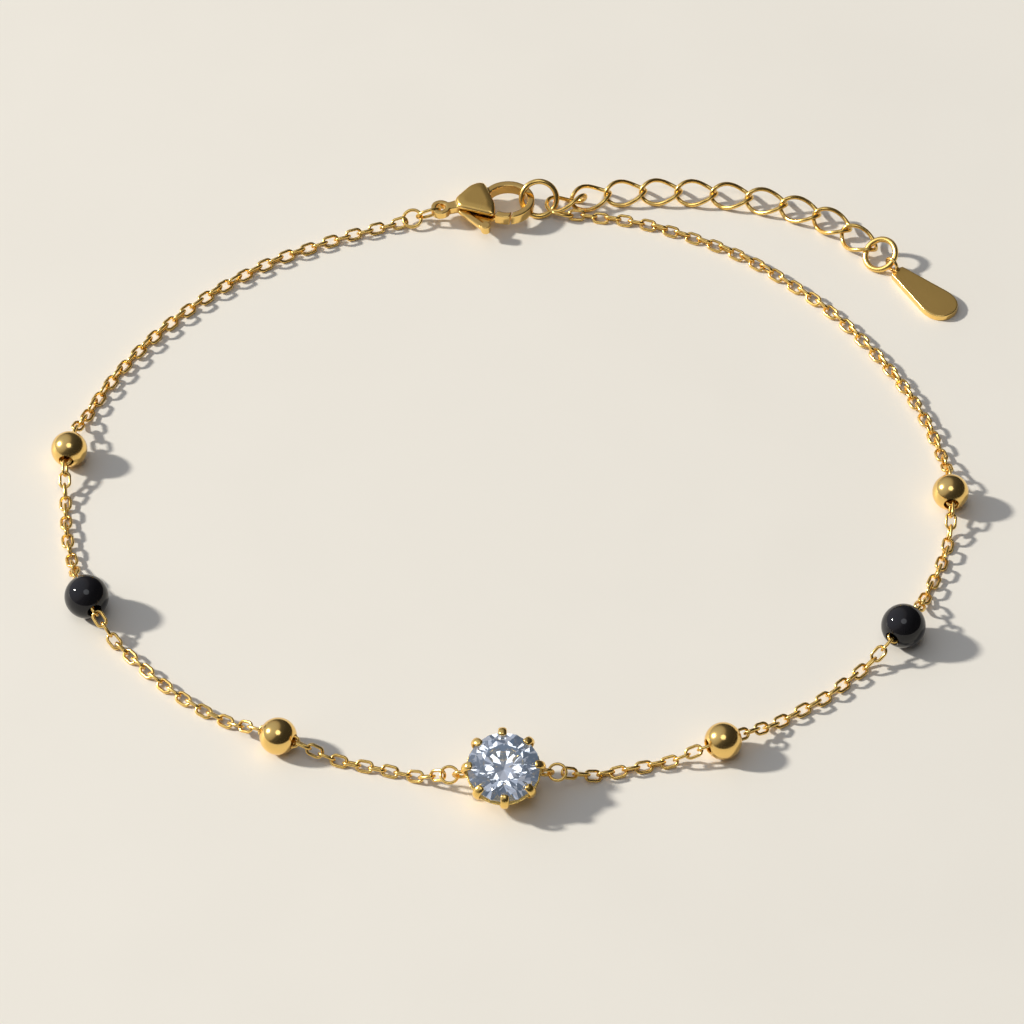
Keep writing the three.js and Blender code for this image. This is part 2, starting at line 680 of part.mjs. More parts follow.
// The strands with their beads
const tailEnd = tailRing.clone().sub(tailRun.clone().setLength(TAIL_RING / 2 + CHAIN_GAP));
const endLinkReach = endLinkRun.clone().setLength(END_LINK_LENGTH / 2 + CHAIN_GAP);
const endLinkEnd = endLinkMiddle.clone().add(endLinkReach);
const STRANDS = [
  { name: "chain_left", route: LEFT_ROUTE, first: tailEnd, last: settingEnds.left },
  { name: "chain_right", route: RIGHT_ROUTE, first: endLinkEnd, last: settingEnds.right },
];
for (const { name, route, first, last } of STRANDS) {
  addMesh(name, chainTube(strandPoints(route, first, last)), gold);
  route.forEach((row, i) => {
    if (!row.bead) return;
    const size = beadSize(row.bead);
    const run = point(route[i + 1].x - route[i - 1].x, route[i + 1].y - route[i - 1].y, 0);
    const bead = seat(drilledBead(size, BEAD_BORE), point(row.x, row.y, size / 2), run, point(0, 0, 1));
    addMesh(row.bead, bead, row.bead.startsWith("gold") ? gold : onyx);
  });
}

export default bracelet;
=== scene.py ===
# %% [markdown]
# # A fine gold chain bracelet
# The bracelet lies on a pale surface: two strands of cable chain, six beads, a round white stone in
# eight prongs, a lobster clasp and a curb-chain extender with a drop-shaped tag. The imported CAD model
# is the fixed frame. Each cell below dresses one piece, or one finish, around it.

# %% Load the frame
import math
import random

import bmesh
import bpy
import numpy as np
from mathutils import Matrix, Vector
from mathutils.geometry import interpolate_bezier


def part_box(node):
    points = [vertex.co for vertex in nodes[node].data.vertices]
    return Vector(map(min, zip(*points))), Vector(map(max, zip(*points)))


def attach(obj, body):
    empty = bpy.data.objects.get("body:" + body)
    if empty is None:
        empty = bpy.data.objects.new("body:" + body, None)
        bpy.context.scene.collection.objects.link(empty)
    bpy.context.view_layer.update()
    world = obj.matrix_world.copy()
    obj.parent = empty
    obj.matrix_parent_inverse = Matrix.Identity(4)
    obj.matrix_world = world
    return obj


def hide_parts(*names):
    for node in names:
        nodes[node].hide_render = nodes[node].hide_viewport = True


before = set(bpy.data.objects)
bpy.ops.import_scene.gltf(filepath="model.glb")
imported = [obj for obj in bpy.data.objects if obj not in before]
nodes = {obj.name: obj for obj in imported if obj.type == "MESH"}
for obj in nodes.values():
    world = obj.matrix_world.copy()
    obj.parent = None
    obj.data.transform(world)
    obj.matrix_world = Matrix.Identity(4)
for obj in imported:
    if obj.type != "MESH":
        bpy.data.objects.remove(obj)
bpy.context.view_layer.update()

MM = 0.001
BODY = "bracelet"
scene = bpy.context.scene


# %% [markdown]
# ## Camera
# The photograph was taken from the front, well above the bracelet, with little perspective. A long
# lens far away does the same, and a nearer, wider lens would make the front of the loop look too large.
# The whole bracelet fills most of the square picture.

# %% Camera
CAMERA_ELEVATION = math.radians(48)
CAMERA_DISTANCE = 389.65 * MM
CAMERA_LENS = 200
CAMERA_FILM = 36
CAMERA_CLIPS = (0.01, 5)
CAMERA_TARGET = Vector((0, -1.7, 0)) * MM


def aimed(obj, place, target):
    """Puts an object in the scene at a place, with its -Z axis towards a target."""
    obj.location = place
    obj.rotation_euler = (target - place).to_track_quat("-Z", "Y").to_euler()
    scene.collection.objects.link(obj)


lens = bpy.data.cameras.new("camera")
lens.lens = CAMERA_LENS
lens.sensor_width = CAMERA_FILM
lens.clip_start, lens.clip_end = CAMERA_CLIPS
view = Vector((0, -math.cos(CAMERA_ELEVATION), math.sin(CAMERA_ELEVATION)))
camera = bpy.data.objects.new("camera", lens)
aimed(camera, CAMERA_TARGET + CAMERA_DISTANCE * view, CAMERA_TARGET)
scene.camera = camera
print("camera at", tuple(round(c, 4) for c in camera.location))

# %% [markdown]
# ## Shared effects of the finishes
# Polished metal is never perfectly even. The cloth leaves hair-fine marks, fingers leave patches that
# are a little less sharp, and the plating is a little redder where it is thinner. Each of these effects
# is used by several finishes, so each is a node group with named inputs and outputs, and each finish
# gives it values of its own. A noise texture makes all three, because it needs no picture and looks the
# same from every side.

# %% A helper for node groups


def effect_group(name, inputs, outputs):
    """Makes a shader node group with named sockets, and returns it with its two ends."""
    group = bpy.data.node_groups.new(name, "ShaderNodeTree")
    for label, kind, value in inputs:
        made = group.interface.new_socket(name=label, in_out="INPUT", socket_type=kind)
        if value is not None:
            made.default_value = value
    for label, kind in outputs:
        group.interface.new_socket(name=label, in_out="OUTPUT", socket_type=kind)
    start = group.nodes.new("NodeGroupInput")
    end = group.nodes.new("NodeGroupOutput")
    return group, start, end


def noise(tree, vector, scale, detail):
    """Adds a noise texture whose place and scale come from two sockets."""
    made = tree.nodes.new("ShaderNodeTexNoise")
    made.inputs["Detail"].default_value = detail
    tree.links.new(vector, made.inputs["Vector"])
    tree.links.new(scale, made.inputs["Scale"])
    return made.outputs["Fac"]


# %% Polishing marks: patches of roughness, and hair-fine lines for the bump
PATCH_RANGE = (0.35, 0.7)
RUB_TURN = (0.5, 0.3, 0.7)
RUB_STRETCH = (1, 0.12, 0.4)
polish, start, end = effect_group(
    "Polishing marks",
    [
        ("Vector", "NodeSocketVector", None),
        ("Patch Scale", "NodeSocketFloat", 350.0),
        ("Line Scale", "NodeSocketFloat", 9000.0),
        ("Sharpest", "NodeSocketFloat", 0.1),
        ("Dullest", "NodeSocketFloat", 0.2),
    ],
    [("Roughness", "NodeSocketFloat"), ("Height", "NodeSocketFloat")],
)
patches = noise(polish, start.outputs["Vector"], start.outputs["Patch Scale"], 4)
spread = polish.nodes.new("ShaderNodeMapRange")
spread.inputs["From Min"].default_value = PATCH_RANGE[0]
spread.inputs["From Max"].default_value = PATCH_RANGE[1]
polish.links.new(patches, spread.inputs["Value"])
polish.links.new(start.outputs["Sharpest"], spread.inputs["To Min"])
polish.links.new(start.outputs["Dullest"], spread.inputs["To Max"])
polish.links.new(spread.outputs["Result"], end.inputs["Roughness"])
stretch = polish.nodes.new("ShaderNodeMapping")
stretch.inputs["Rotation"].default_value = RUB_TURN
stretch.inputs["Scale"].default_value = RUB_STRETCH
polish.links.new(start.outputs["Vector"], stretch.inputs["Vector"])
lines = noise(polish, stretch.outputs["Vector"], start.outputs["Line Scale"], 3)
polish.links.new(lines, end.inputs["Height"])
print("group:", polish.name)

# %% Plating tone: a colour that drifts between thick and thin plating
plating, start, end = effect_group(
    "Plating tone",
    [
        ("Vector", "NodeSocketVector", None),
        ("Thick", "NodeSocketColor", (0.9, 0.65, 0.25, 1)),
        ("Thin", "NodeSocketColor", (0.8, 0.5, 0.2, 1)),
        ("Drift Scale", "NodeSocketFloat", 220.0),
    ],
    [("Color", "NodeSocketColor")],
)
drift = noise(plating, start.outputs["Vector"], start.outputs["Drift Scale"], 3)
blend = plating.nodes.new("ShaderNodeMix")
blend.data_type = "RGBA"
plating.links.new(drift, blend.inputs["Factor"])
plating.links.new(start.outputs["Thick"], blend.inputs["A"])
plating.links.new(start.outputs["Thin"], blend.inputs["B"])
plating.links.new(blend.outputs["Result"], end.inputs["Color"])
print("group:", plating.name)

# %% [markdown]
# ## The finishes
# The clasp and the beads are polished gold plate: a metal with a low roughness. Drawn wire, of which the
# chain and the rings are made, is a little less even, so its glints are broader. The tag's face and the
# clasp's shield are brushed softer still and look more olive. All three are one function with three sets
# of values, because they are one metal that was worked in three ways.
#
# The black beads are agate with a glassy polish. The stone is clear with a trace of blue, and its high
# index of refraction makes the facets flash. It glows very faintly, which stands in for the bright sky
# that a real stone gathers from above and that this dark room doesn't have.

# %% Helpers for a finish
LINE_DEPTH = 0.01 * MM


def new_finish(name):
    """Makes a material and returns it with its tree, its shader and its place coordinates."""
    material = bpy.data.materials.new(name)
    material.use_nodes = True
    tree = material.node_tree
    shader = tree.nodes["Principled BSDF"]
    place = tree.nodes.new("ShaderNodeTexCoord").outputs["Object"]
    return material, tree, shader, place


def use_group(tree, group, place, **values):
    """Places an effect in a material with its own values, given by socket name."""
    node = tree.nodes.new("ShaderNodeGroup")
    node.node_tree = group
    tree.links.new(place, node.inputs["Vector"])
    for label, value in values.items():
        node.inputs[label.replace("_", " ")].default_value = value
    return node


def bumped(tree, shader, height, strength):
    """Feeds the height of the polishing lines to the shader's normal through a Bump node."""
    bump = tree.nodes.new("ShaderNodeBump")
    bump.inputs["Strength"].default_value = strength
    bump.inputs["Distance"].default_value = LINE_DEPTH
    tree.links.new(height, bump.inputs["Height"])
    tree.links.new(bump.outputs["Normal"], shader.inputs["Normal"])


# %% One gold, worked in three ways


def gold_finish(name, thick, thin, sharpest, dullest, marks):
    """A plated gold finish: tone, patches of roughness and polishing lines."""
    material, tree, shader, place = new_finish(name)
    shader.inputs["Metallic"].default_value = 1
    tone = use_group(tree, plating, place, Thick=thick, Thin=thin)
    marked = use_group(tree, polish, place, Sharpest=sharpest, Dullest=dullest)
    tree.links.new(tone.outputs["Color"], shader.inputs["Base Color"])
    tree.links.new(marked.outputs["Roughness"], shader.inputs["Roughness"])
    bumped(tree, shader, marked.outputs["Height"], marks)
    return material


# %% Polished, drawn and satin gold
polished_gold = gold_finish(
    "polished gold",
    thick=(0.97, 0.68, 0.24, 1),
    thin=(0.92, 0.59, 0.18, 1),
    sharpest=0.13,
    dullest=0.21,
    marks=0.1,
)
drawn_gold = gold_finish(
    "drawn gold",
    thick=(0.97, 0.68, 0.22, 1),
    thin=(0.91, 0.58, 0.16, 1),
    sharpest=0.2,
    dullest=0.3,
    marks=0.15,
)
satin_gold = gold_finish(
    "satin gold",
    thick=(0.88, 0.58, 0.17, 1),
    thin=(0.8, 0.51, 0.14, 1),
    sharpest=0.26,
    dullest=0.36,
    marks=0.25,
)
print("finishes:", polished_gold.name, drawn_gold.name, "and", satin_gold.name)

# %% Black agate
AGATE_IOR = 1.54
AGATE_SHINE = 0.34
AGATE_MARKS = 0.04
black_agate, tree, shader, place = new_finish("black agate")
tone = use_group(
    tree, plating, place, Thick=(0.006, 0.006, 0.008, 1), Thin=(0.014, 0.013, 0.014, 1)
)
marked = use_group(tree, polish, place, Sharpest=0.03, Dullest=0.08)
tree.links.new(tone.outputs["Color"], shader.inputs["Base Color"])
tree.links.new(marked.outputs["Roughness"], shader.inputs["Roughness"])
shader.inputs["IOR"].default_value = AGATE_IOR
shader.inputs["Specular IOR Level"].default_value = AGATE_SHINE
bumped(tree, shader, marked.outputs["Height"], AGATE_MARKS)
print("finish:", black_agate.name)

# %% The white stone
STONE_IOR = 2.16
SKY_TINT = (0.5, 0.7, 1, 1)
SKY_GLOW = 0.034
white_stone, tree, shader, place = new_finish("white stone")
tone = use_group(tree, plating, place, Thick=(0.97, 0.985, 1, 1), Thin=(0.93, 0.96, 1, 1))
tree.links.new(tone.outputs["Color"], shader.inputs["Base Color"])
shader.inputs["Roughness"].default_value = 0
shader.inputs["IOR"].default_value = STONE_IOR
shader.inputs["Transmission Weight"].default_value = 1
shader.inputs["Emission Color"].default_value = SKY_TINT
shader.inputs["Emission Strength"].default_value = SKY_GLOW
print("finish:", white_stone.name)

# %% [markdown]
# ## Making wire, beads and plates
# Nearly every piece here is a loft: rings of points, joined one to the next. A wire is a small circle
# carried along a path, a bead is its profile carried round an axis, and a plate is its outline carried
# up. One function therefore makes them all, in millimetres, and another scales the result to metres,
# shades it, and tells the frame which node it stands for. Curves with a bevel would give wire too, but
# not the bead or the plate, and a mesh is what the finished part needs in the end.

# %% Loft


def loft(bm, rings, closed=False):
    """Joins rings of points with faces. An open loft is capped at its two ends."""
    made = [[bm.verts.new(p) for p in ring] for ring in rings]
    pairs = list(zip(made, made[1:]))
    if closed:
        pairs.append((made[-1], made[0]))
    for low, high in pairs:
        for i in range(len(low)):
            k = (i + 1) % len(low)
            bm.faces.new((low[i], low[k], high[k], high[i]))
    if not closed:
        bm.faces.new(made[0][::-1])
        bm.faces.new(made[-1])


# %% The finished piece
SHARP_ANGLE = 35
NEVER_SHARP = 180


def finished(bm, name, finishes, node, crease=SHARP_ANGLE):
    """Turns a bmesh in millimetres into a piece in metres that replaces a CAD node."""
    bmesh.ops.recalc_face_normals(bm, faces=bm.faces)
    bmesh.ops.scale(bm, vec=(MM, MM, MM), verts=bm.verts)
    mesh = bpy.data.meshes.new(name)
    bm.to_mesh(mesh)
    bm.free()
    placed(mesh, name, finishes, node, crease)


def placed(mesh, name, finishes, node, crease=NEVER_SHARP, body=BODY):
    """Shades a mesh and makes it a piece that rides on a body and replaces a CAD node."""
    mesh.shade_smooth()
    mesh.set_sharp_from_angle(angle=math.radians(crease))
    mesh.materials.clear()
    for finish in finishes:
        mesh.materials.append(finish)
    piece = bpy.data.objects.new(name, mesh)
    scene.collection.objects.link(piece)
    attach(piece, body)
    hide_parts(node)
    print(name, "for", node, "with", len(mesh.polygons), "faces")


# %% Round sections and wire


def circle(radius, sides):
    """Corners of a round section in XY."""
    angles = [2 * math.pi * i / sides for i in range(sides)]
    return [Vector((radius * math.cos(angle), radius * math.sin(angle))) for angle in angles]


def wire(bm, path, ups, radius, sides):
    """Carries a round section round a closed path. ups holds a direction across it at each point."""
    rings = []
    for i, here in enumerate(path):
        run = (path[(i + 1) % len(path)] - path[i - 1]).normalized()
        side = run.cross(ups[i]).normalized()
        up = side.cross(run)
        rings.append([here + side * c.x + up * c.y for c in circle(radius, sides)])
    loft(bm, rings, closed=True)


# %% [markdown]
# ## Jump rings and single links
# A jump ring is round wire bent to a circle, and a link is bent to an oval. The CAD ring already lies
# where it should, so its own points are measured: the widest direction is its length and the narrowest
# is the way it faces. Only the wire and the outer sizes are named here, so a ring can never drift away
# from its neighbours in the CAD model.

# %% Where a ring or a link lies


def lie_of(node):
    """A matrix in millimetres whose X runs along a flat piece and whose Z is the way it faces."""
    points = np.array([v.co for v in nodes[node].data.vertices], float) / MM
    middle = points.mean(0)
    _, axes = np.linalg.eigh(np.cov((points - middle).T))
    along = Vector(axes[:, 2])
    facing = Vector(axes[:, 0])
    across = facing.cross(along)
    spans = (points - middle) @ np.array([along, across, facing]).T
    shift = Vector((spans.max(0) + spans.min(0)) / 2)
    turn = Matrix((along, across, facing)).transposed()
    return Matrix.Translation(Vector(middle) + turn @ shift) @ turn.to_4x4()


def oval_path(length, width, twist=0, steps=48):
    """Points round an oval in XY that is twisted about its length, and the way its strip faces."""
    path = []
    ups = []
    for i in range(steps):
        angle = 2 * math.pi * i / steps
        x = length / 2 * math.cos(angle)
        y = width / 2 * math.sin(angle)
        turn = -twist * x / (length / 2)
        path.append(Vector((x, y * math.cos(turn), y * math.sin(turn))))
        ups.append(Vector((0, -math.sin(turn), math.cos(turn))))
    return path, ups


# %% A ring or link from its sizes
RING_STEPS = 64
WIRE_SIDES = 16


def wire_piece(node, length, width, thickness, twist=0):
    """A ring or link of round wire where its CAD node lies, from its outer sizes."""
    path, ups = oval_path(length - thickness, width - thickness, math.radians(twist), RING_STEPS)
    bm = bmesh.new()
    wire(bm, path, ups, thickness / 2, WIRE_SIDES)
    bm.transform(lie_of(node))
    finished(bm, "wire_" + node, [drawn_gold], node)


# %% The rings and the two long links: length, width and wire in millimetres
RING_SIZES = {
    "setting_ring_left": (1.34, 1.34, 0.2),
    "setting_ring_right": (1.34, 1.34, 0.2),
    "tail_ring": (1.55, 1.55, 0.24),
    "tail_link": (1.9, 1.3, 0.23),
    "end_ring": (2.92, 2.92, 0.4),
    "chain_end_link": (1.75, 1.1, 0.22),
    "tag_ring": (2.7, 2.7, 0.42),
}
for node, (length, width, thickness) in RING_SIZES.items():
    wire_piece(node, length, width, thickness)

# %% [markdown]
# ## The extender
# Curb links are ovals whose ends are twisted an eighth of a turn each way, so that the chain lies flat.
# The twist goes into the path of the wire, which keeps the wire round, as bending does. A twist of the
# finished link, with a modifier, would flatten its wire.

# %% The curb links
CURB_COUNT = 10
CURB_LENGTH = 3.2
CURB_WIDTH = 2.15
CURB_WIRE = 0.3
CURB_TWIST = 45
for number in range(1, CURB_COUNT + 1):
    wire_piece(f"extender_link_{number:02d}", CURB_LENGTH, CURB_WIDTH, CURB_WIRE, CURB_TWIST)

# %% [markdown]
# ## The beads
# A bead is a ball that is drilled for the chain. Its profile, an arc with a small rounded lip at each
# end of the bore, is carried round the bore's axis. A ready-made sphere has no bore, and a boolean would
# leave its rim ragged. The CAD bead gives the size and the middle, and the strand's points before and
# after the bead give the direction of its bore.

# %% Routes of the two strands, as in the CAD source, in millimetres
LEFT_ROUTE = [
    (-8.2, 25.8),
    (-11.0, 24.8),
    (-14.2, 23.5),
    (-17.5, 21.7),
    (-20.6, 19.4),
    (-23.4, 16.7),
    (-25.9, 13.6),
    (-27.9, 10.4),
    (-29.5, 7.0),
    "gold_bead_back_left",
    (-30.6, -1.0),
    (-30.3, -4.4),
    (-29.8, -6.8),
    "onyx_bead_left",
    (-26.4, -14.0),
    (-23.9, -16.8),
    (-21.2, -19.2),
    (-18.7, -20.8),
    "gold_bead_front_left",
    (-11.6, -24.0),
    (-8.6, -24.8),
    (-6.4, -25.4),
]
RIGHT_ROUTE = [
    (5.2, 26.6),
    (8.6, 26.0),
    (12.3, 24.7),
    (16.1, 22.7),
    (19.3, 20.2),
    (22.3, 17.3),
    (24.8, 14.0),
    (27.1, 10.2),
    (28.6, 6.8),
    (29.7, 3.0),
    "gold_bead_back_right",
    (29.7, -4.8),
    (28.9, -7.4),
    (27.9, -9.8),
    "onyx_bead_right",
    (23.5, -16.1),
    (20.8, -18.6),
    (17.6, -20.8),
    "gold_bead_front_right",
    (10.2, -24.2),
    (7.6, -24.8),
    (5.7, -25.3),
]


# %% Where a bead lies, and which way the strand runs through it


def middle_of(node):
    """The middle of a CAD node's box, in millimetres."""
    low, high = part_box(node)
    return (low + high) / (2 * MM)


def bead_run(route, row):
    """The direction of the strand through a bead."""
    before = Vector(route[row - 1])
    after = Vector(route[row + 1])
    return (after - before).to_3d().normalized()


# %% The profile of a drilled bead
BEAD_BORE = 0.93
BORE_LIP = 0.06
LIP_CURVE = [(0.03, 0.5), (0.08, 0.12), (0.16, 0)]
BEAD_SIDES = 64


def bead_profile(radius):
    """Places along the bore's axis and distances from it, round the bead and back through its bore."""
    bore = BEAD_BORE / 2
    mouth = math.asin((bore + BORE_LIP) / radius)
    arcs = BEAD_SIDES // 2
    profile = []
    for i in range(arcs + 1):
        angle = mouth + (math.pi - 2 * mouth) * i / arcs
        profile.append((-radius * math.cos(angle), radius * math.sin(angle)))
    edge = radius * math.cos(mouth)
    for side, lip in ((1, LIP_CURVE), (-1, LIP_CURVE[::-1])):
        profile += [(side * (edge - inward), bore + out * BORE_LIP) for inward, out in lip]
    return profile


# %% The drilled beads


def drilled_bead(node, run, finish):
    """A ball with a lipped bore along a direction, where its CAD node lies."""
    low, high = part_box(node)
    profile = bead_profile((high.z - low.z) / 2 / MM)
    up = Vector((0, 0, 1))
    side = up.cross(run)
    middle = middle_of(node)
    rings = []
    for spoke in circle(1, BEAD_SIDES):
        out = side * spoke.x + up * spoke.y
        rings.append([middle + run * x + out * r for x, r in profile])
    bm = bmesh.new()
    loft(bm, rings, closed=True)
    finished(bm, "polished_" + node, [finish], node)


for route in (LEFT_ROUTE, RIGHT_ROUTE):
    for row, stop in enumerate(route):
        if isinstance(stop, str):
            finish = polished_gold if stop.startswith("gold") else black_agate
            drilled_bead(stop, bead_run(route, row), finish)

# %% [markdown]
# ## The cable chain
# Each strand is a real chain of more than ninety oval links, each through the next. Every second link
# turns its face to the front, and those between stand across it, so that from the front the chain reads
# as ovals and bright bars in turn. The CAD strand is a plain tube, because so many small links would be
# too many faces for it. Here the links follow the tube's route, at an even pitch, and pass through the
# beads. An array on a curve would place them too, but it can't let each one down until it rests on the
# surface. A little seeded disorder in how far each link rolls keeps the chain from looking machine-set.

# %% Sizes of the cable chain
LINK_LENGTH = 1.31
LINK_WIDTH = 0.88
LINK_WIRE = 0.215
LINK_PITCH = 0.87
LINK_LEAN = math.radians(42)
LINK_DRIFT = math.radians(5)
LINK_JITTER = math.radians(8)
LINK_MEMORY = 0.9
LINK_STEPS = 24
LINK_SIDES = 8
LINK_SHARP = 60
LINK_PLAY = 0.12
RING_PLAY = 0.02
CHAIN_REST = 0.42
CHAIN_GAP = 0.12
print("inside a link there is room for", round(LINK_WIDTH - 3 * LINK_WIRE, 3), "mm of play")

# %% The path of a strand


def strand_points(route, first, last):
    """The strand's route through the middles of its beads, lying on the surface between them."""
    points = [first]
    for row, stop in enumerate(route):
        if isinstance(stop, str):
            middle = middle_of(stop)
            reach = bead_run(route, row) * (middle.z + CHAIN_GAP)
            points += [middle - reach, middle + reach]
        else:
            points.append(Vector((*stop, CHAIN_REST)))
    return points + [last]


def smooth_path(points, steps=24):
    """A smooth curve through points, as many short chords."""
    runs = [points[1] - points[0]]
    runs += [after - before for before, after in zip(points, points[2:])]
    runs.append(points[-1] - points[-2])
    path = [points[0]]
    for i in range(len(points) - 1):
        third = (points[i + 1] - points[i]).length / 3
        leave = points[i] + runs[i].normalized() * third
        arrive = points[i + 1] - runs[i + 1].normalized() * third
        path += interpolate_bezier(points[i], leave, arrive, points[i + 1], steps + 1)[1:]
    return path


# %% Places along a path


def along(path, distances):
    """Points on a path at distances from its start, and the path's direction at each."""
    found = []
    travelled = 0
    i = 0
    for distance in distances:
        while i < len(path) - 2 and travelled + (path[i + 1] - path[i]).length < distance:
            travelled += (path[i + 1] - path[i]).length
            i += 1
        step = path[i + 1] - path[i]
        found.append((path[i] + step.normalized() * (distance - travelled), step.normalized()))
    return found


def stadium_path(length, width):
    """Points round a link with straight sides and round ends, in XY."""
    radius = width / 2
    straight = length / 2 - radius
    path = []
    for i in range(LINK_STEPS):
        angle = 2 * math.pi * (i + 0.5) / LINK_STEPS
        shift = straight if math.cos(angle) > 0 else -straight
        path.append(Vector((shift + radius * math.cos(angle), radius * math.sin(angle), 0)))
    return path


# %% How the links turn and rest


def link_turns(places, chance):
    """How each link is turned: every second one faces the front, the others stand across them."""
    turns = []
    drift = 0
    front = Vector((0, -math.sin(LINK_LEAN), math.cos(LINK_LEAN)))
    for i, (_, run) in enumerate(places):
        drift = LINK_MEMORY * drift + chance.uniform(-LINK_DRIFT, LINK_DRIFT)
        roll = drift + chance.uniform(-LINK_JITTER, LINK_JITTER) + (i % 2) * math.pi / 2
        side = front.cross(run).normalized()
        turn = Matrix((run, side, run.cross(side))).transposed().to_4x4()
        turns.append(turn @ Matrix.Rotation(roll, 4, "X"))
    return turns


def link_heights(turns):
    """The height at which each link rests, or is held up by the links on both sides of it."""
    swing = (LINK_WIDTH - LINK_WIRE) / 2
    rests = [abs(turn.col[1].z) * swing + LINK_WIRE / 2 for turn in turns]
    heights = []
    for i, rest in enumerate(rests):
        held = max(rests[max(i - 1, 0)], rests[min(i + 1, len(rests) - 1)]) - LINK_PLAY
        heights.append(max(rest, held))
    return heights


# %% Link both strands


def cable_chain(node, route, first, last, seed):
    """A strand of interlocked links from one end's ring to the other's."""
    path = smooth_path(strand_points(route, first, last))
    total = sum((b - a).length for a, b in zip(path, path[1:]))
    count = 2 * round((total - LINK_LENGTH) / LINK_PITCH / 2) + 1
    pitch = (total - LINK_LENGTH) / (count - 1)
    places = along(path, [LINK_LENGTH / 2 + pitch * i for i in range(count)])
    turns = link_turns(places, random.Random(seed))
    shape = stadium_path(LINK_LENGTH - LINK_WIRE, LINK_WIDTH - LINK_WIRE)
    bm = bmesh.new()
    for (place, run), turn, height in zip(places, turns, link_heights(turns)):
        resting = min(max(1 - 2 * (place.z - CHAIN_REST), 0), 1)
        drop = Vector((0, 0, resting * (CHAIN_REST - height)))
        lie = Matrix.Translation(place - drop) @ turn
        sunk = LINK_WIRE / 2 - min((lie @ p).z for p in shape)
        lie = Matrix.Translation((0, 0, max(sunk, 0))) @ lie
        ups = [turn.to_3x3() @ Vector((0, 0, 1))] * len(shape)
        wire(bm, [lie @ p for p in shape], ups, LINK_WIRE / 2, LINK_SIDES)
    print(node, "has", count, "links at", round(pitch, 3), "mm")
    finished(bm, "links_" + node, [drawn_gold], node, crease=LINK_SHARP)


# %% Both strands, from ring to ring


def ring_hold(node, stop):
    """Where a strand's last link reaches round a ring's wire, on the side that faces the strand."""
    outer, _, thickness = RING_SIZES[node]
    middle = middle_of(node)
    run = (Vector((*stop, CHAIN_REST)) - middle).normalized()
    return middle + run * (outer / 2 - thickness - LINK_WIRE - RING_PLAY)


left_start = ring_hold("tail_ring", LEFT_ROUTE[0])
left_end = ring_hold("setting_ring_left", LEFT_ROUTE[-1])
right_start = ring_hold("chain_end_link", RIGHT_ROUTE[0])
right_end = ring_hold("setting_ring_right", RIGHT_ROUTE[-1])
cable_chain("chain_left", LEFT_ROUTE, left_start, left_end, seed=3)
cable_chain("chain_right", RIGHT_ROUTE, right_start, right_end, seed=8)

# %% [markdown]
# ## Castings
# The clasp, the setting and the tag are cast and then tumbled, so their edges are soft and their joins
# have small fillets. Overlapping solids are joined by a fine voxel remesh, and a few rounds of smoothing
# wear the edges down, as the tumbler does. A boolean and a bevel would leave the joins sharp.

# %% A helper that casts and tumbles
WEAR_RATE = 0.5
WELD_REACH = 0.0005


def tumbled(bm, voxel, rounds):
    """Joins the overlapping solids of a bmesh and rounds their edges. Returns a mesh in metres."""
    bmesh.ops.recalc_face_normals(bm, faces=bm.faces)
    rough = bpy.data.meshes.new("rough")
    bm.to_mesh(rough)
    bm.free()
    blank = bpy.data.objects.new("blank", rough)
    scene.collection.objects.link(blank)
    joiner = blank.modifiers.new("join", "REMESH")
    joiner.mode = "VOXEL"
    joiner.voxel_size = voxel
    wear = blank.modifiers.new("wear", "SMOOTH")
    wear.factor = WEAR_RATE
    wear.iterations = rounds
    graph = bpy.context.evaluated_depsgraph_get()
    mesh = bpy.data.meshes.new_from_object(blank.evaluated_get(graph))
    bpy.data.objects.remove(blank)
    bpy.data.meshes.remove(rough)
    mesh.transform(Matrix.Scale(MM, 4))
    return mesh


def blank_from(node):
    """A CAD node's solid in millimetres, with its corners joined."""
    bm = bmesh.new()
    bm.from_mesh(nodes[node].data)
    bmesh.ops.scale(bm, vec=(1 / MM,) * 3, verts=bm.verts)
    bmesh.ops.remove_doubles(bm, verts=bm.verts, dist=WELD_REACH)
    return bm


# %% [markdown]
# ## The clasp
# The body is one casting: hook, shield-shaped plate, cheek and eye. The lever with the gate turns on a
# rivet, so it rides on a body of its own. Their CAD solids already have the right shape, so they are
# tumbled as they are. The shield's top is brushed, so it gets the satin finish, and the rest is polished.

# %% Clasp body
CLASP_VOXEL = 0.035
BODY_WEAR = 26
SHIELD_LEVEL = 1.56
SHIELD_FLATNESS = 0.8
body_mesh = tumbled(blank_from("clasp_body"), CLASP_VOXEL, BODY_WEAR)
placed(body_mesh, "cast_clasp_body", [polished_gold, satin_gold], "clasp_body")
for face in body_mesh.polygons:
    if face.center.z > SHIELD_LEVEL * MM and face.normal.z > SHIELD_FLATNESS:
        face.material_index = 1

# %% Clasp lever
LEVER_WEAR = 16
lever_mesh = tumbled(blank_from("clasp_lever"), CLASP_VOXEL, LEVER_WEAR)
placed(lever_mesh, "cast_clasp_lever", [polished_gold], "clasp_lever", body="lever")

